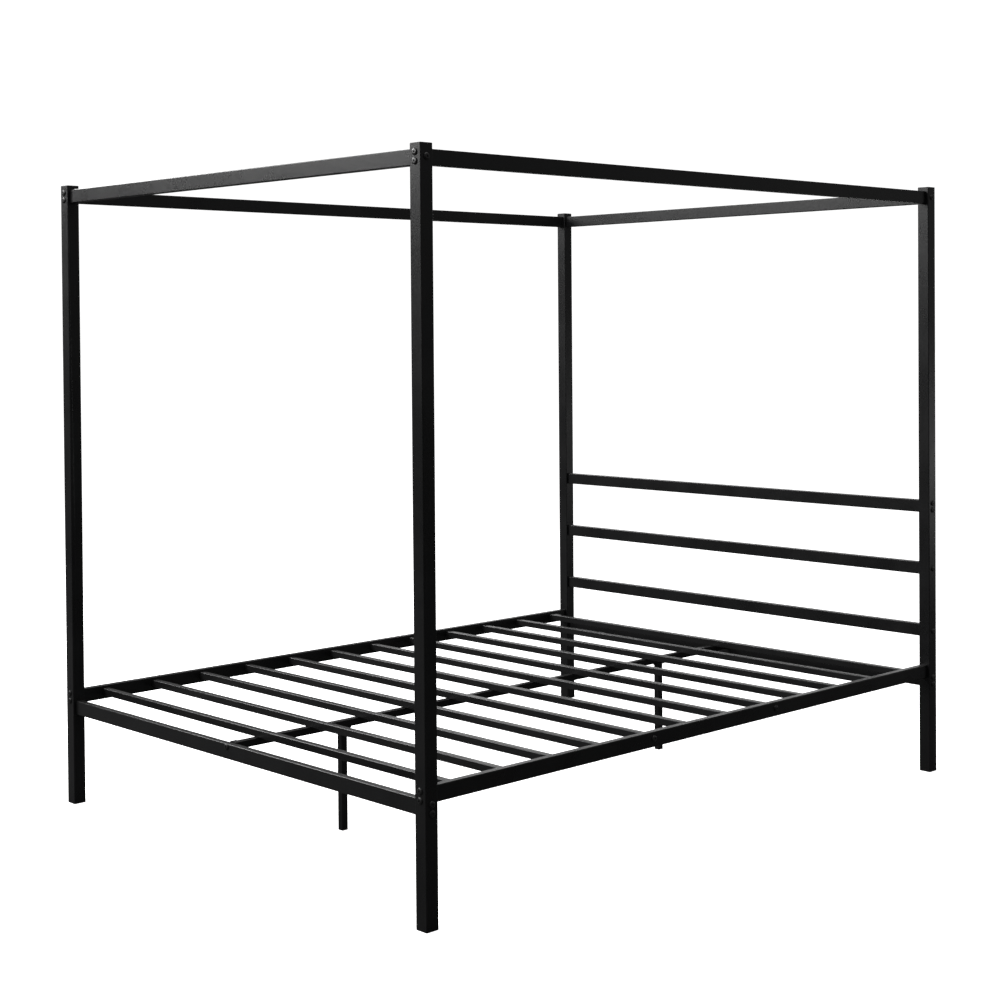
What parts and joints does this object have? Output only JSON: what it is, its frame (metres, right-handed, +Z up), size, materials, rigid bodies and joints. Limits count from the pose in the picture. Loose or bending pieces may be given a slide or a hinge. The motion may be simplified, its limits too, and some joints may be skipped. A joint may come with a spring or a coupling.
{
  "type": "canopy bed",
  "caption": "Four poster canopy bed frame of square black steel tube, with a rail headboard, crosswise slats on a low deck, and a centre beam on short legs.",
  "frame": {"origin": "on the floor under the middle of the bed", "axes": "+Z up, +Y from the foot end towards the headboard, +X to the right seen from the foot"},
  "size_m": [1.607, 2.115, 1.81],
  "materials": {
    "frame_paint": "satin black powder coat with a fine orange peel",
    "plastic_end": "matte moulded black plastic",
    "bolt": "satin black oxide",
    "inner_steel": "plain zinc plate, hidden inside the tubes"
  },
  "bodies": {
    "root": {"beam_bolts": "bolt", "beam_end_plates": "inner_steel", "beam_hanger_foot": "frame_paint", "beam_hanger_head": "frame_paint", "canopy_bolts": "bolt", "canopy_end_plates": "inner_steel", "canopy_rail_foot": "frame_paint", "canopy_rail_head": "frame_paint", "canopy_rail_left": "frame_paint", "canopy_rail_right": "frame_paint", "canopy_side_end_plates": "inner_steel", "centre_beam": "frame_paint", "centre_leg_foot": "frame_paint", "centre_leg_head": "frame_paint", "cross_rail_bolts": "bolt", "cross_rail_end_plates": "inner_steel", "foot_rail": "frame_paint", "head_rail": "frame_paint", "headboard_bolts": "bolt", "headboard_end_plates": "inner_steel", "headboard_rail_highest": "frame_paint", "headboard_rail_lowest": "frame_paint", "headboard_rail_middle": "frame_paint", "headboard_top_end_plates": "inner_steel", "leg_bolt_nuts": "inner_steel", "leg_bolts": "bolt", "leg_foot_foot": "plastic_end", "leg_foot_head": "plastic_end", "leg_plate_foot": "frame_paint", "leg_plate_head": "frame_paint", "post_cap_foot_left": "plastic_end", "post_cap_foot_right": "plastic_end", "post_cap_head_left": "plastic_end", "post_cap_head_right": "plastic_end", "post_foot_left": "frame_paint", "post_foot_plug_foot_left": "plastic_end", "post_foot_plug_foot_right": "plastic_end", "post_foot_plug_head_left": "plastic_end", "post_foot_plug_head_right": "plastic_end", "post_foot_right": "frame_paint", "post_head_left": "frame_paint", "post_head_right": "frame_paint", "side_rail_bolts": "bolt", "side_rail_end_plates": "inner_steel", "side_rail_left": "frame_paint", "side_rail_right": "frame_paint", "slat_01": "frame_paint", "slat_02": "frame_paint", "slat_03": "frame_paint", "slat_04": "frame_paint", "slat_05": "frame_paint", "slat_06": "frame_paint", "slat_07": "frame_paint", "slat_08": "frame_paint", "slat_09": "frame_paint", "slat_10": "frame_paint", "slat_11": "frame_paint", "slat_12": "frame_paint", "slat_bolts": "bolt", "slat_end_plates": "inner_steel"}
  },
  "joints": []
}
